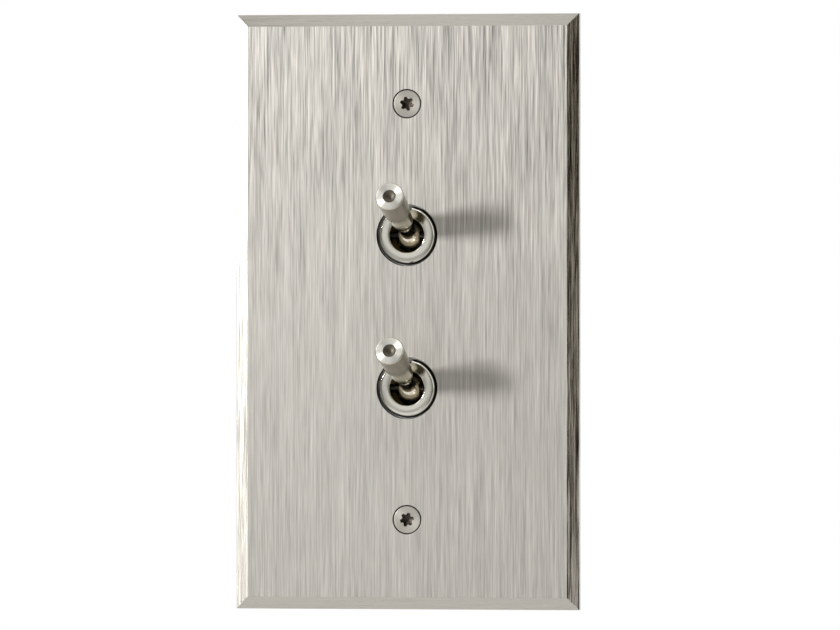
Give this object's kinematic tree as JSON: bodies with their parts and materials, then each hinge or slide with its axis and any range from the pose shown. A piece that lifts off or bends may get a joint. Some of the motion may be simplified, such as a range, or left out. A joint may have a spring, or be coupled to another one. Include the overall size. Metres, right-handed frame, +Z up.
{
  "type": "light switch",
  "caption": "Wall light switch: two metal toggle levers in round bushes on a portrait bevelled plate of brushed metal, with flush screws.",
  "frame": {"origin": "middle of the wall plate, on the wall's surface", "axes": "+X right as seen from the room, +Y into the wall, +Z up; the levers point towards -Y"},
  "size_m": [0.07, 0.0493, 0.1194],
  "materials": {
    "plate_metal": "brushed along its height, satin",
    "lever_metal": "fine turned satin nickel",
    "bush_metal": "polished nickel with faint turning marks",
    "screw_steel": "plain stainless, slightly dull",
    "pin_steel": "black oxide, slightly oiled",
    "zinc_steel": "bright zinc plate",
    "spring_steel": "drawn wire",
    "contact_brass": "rolled brass",
    "terminal_screw_brass": "turned brass",
    "case_moulding": "moulded phenolic, satin",
    "plunger_moulding": "moulded"
  },
  "bodies": {
    "plate": {"faceplate": "plate_metal", "mounting_strap": "zinc_steel", "upper_plate_screw": "screw_steel", "lower_plate_screw": "screw_steel", "upper_bush": "bush_metal", "upper_front_nut": "zinc_steel", "upper_lock_washer": "zinc_steel", "upper_rear_nut": "zinc_steel", "upper_cover": "zinc_steel", "upper_case": "case_moulding", "upper_pivot_pin": "pin_steel", "upper_centre_terminal": "contact_brass", "upper_top_terminal": "contact_brass", "upper_bottom_terminal": "contact_brass", "upper_terminal_screws": "terminal_screw_brass", "lower_bush": "bush_metal", "lower_front_nut": "zinc_steel", "lower_lock_washer": "zinc_steel", "lower_rear_nut": "zinc_steel", "lower_cover": "zinc_steel", "lower_case": "case_moulding", "lower_pivot_pin": "pin_steel", "lower_centre_terminal": "contact_brass", "lower_top_terminal": "contact_brass", "lower_bottom_terminal": "contact_brass", "lower_terminal_screws": "terminal_screw_brass"},
    "upper_lever_body": {"upper_lever": "lever_metal", "upper_plunger_spring": "spring_steel"},
    "upper_plunger_body": {"upper_plunger": "plunger_moulding"},
    "upper_rocker_body": {"upper_rocker": "contact_brass"},
    "lower_lever_body": {"lower_lever": "lever_metal", "lower_plunger_spring": "spring_steel"},
    "lower_plunger_body": {"lower_plunger": "plunger_moulding"},
    "lower_rocker_body": {"lower_rocker": "contact_brass"}
  },
  "joints": [
    {"name": "upper_lever_tilt", "type": "hinge", "parent": "plate", "child": "upper_lever_body", "pos_m": [0, 0.0016, 0.01535], "axis": [1, 0, 0], "range_deg": [0, 37]},
    {"name": "upper_plunger_slide", "type": "slide", "parent": "upper_lever_body", "child": "upper_plunger_body", "axis": [0, -0.9483, 0.3173], "range_m": [0, 0.0012], "stiffness_N_per_m": 400, "springref_m": -0.003, "deforming": ["upper_plunger_spring"]},
    {"name": "upper_rocker_tilt", "type": "hinge", "parent": "plate", "child": "upper_rocker_body", "pos_m": [0, 0.0108, 0.01535], "axis": [1, 0, 0], "range_deg": [-24.67, 0]},
    {"name": "lower_lever_tilt", "type": "hinge", "parent": "plate", "child": "lower_lever_body", "pos_m": [0, 0.0016, -0.01535], "axis": [1, 0, 0], "range_deg": [0, 37]},
    {"name": "lower_plunger_slide", "type": "slide", "parent": "lower_lever_body", "child": "lower_plunger_body", "axis": [0, -0.9483, 0.3173], "range_m": [0, 0.0012], "stiffness_N_per_m": 400, "springref_m": -0.003, "deforming": ["lower_plunger_spring"]},
    {"name": "lower_rocker_tilt", "type": "hinge", "parent": "plate", "child": "lower_rocker_body", "pos_m": [0, 0.0108, -0.01535], "axis": [1, 0, 0], "range_deg": [-24.67, 0]}
  ],
  "couplings": [
    {"joint": "upper_rocker_tilt", "follows": "upper_lever_tilt", "ratio": -0.6667},
    {"joint": "lower_rocker_tilt", "follows": "lower_lever_tilt", "ratio": -0.6667}
  ]
}
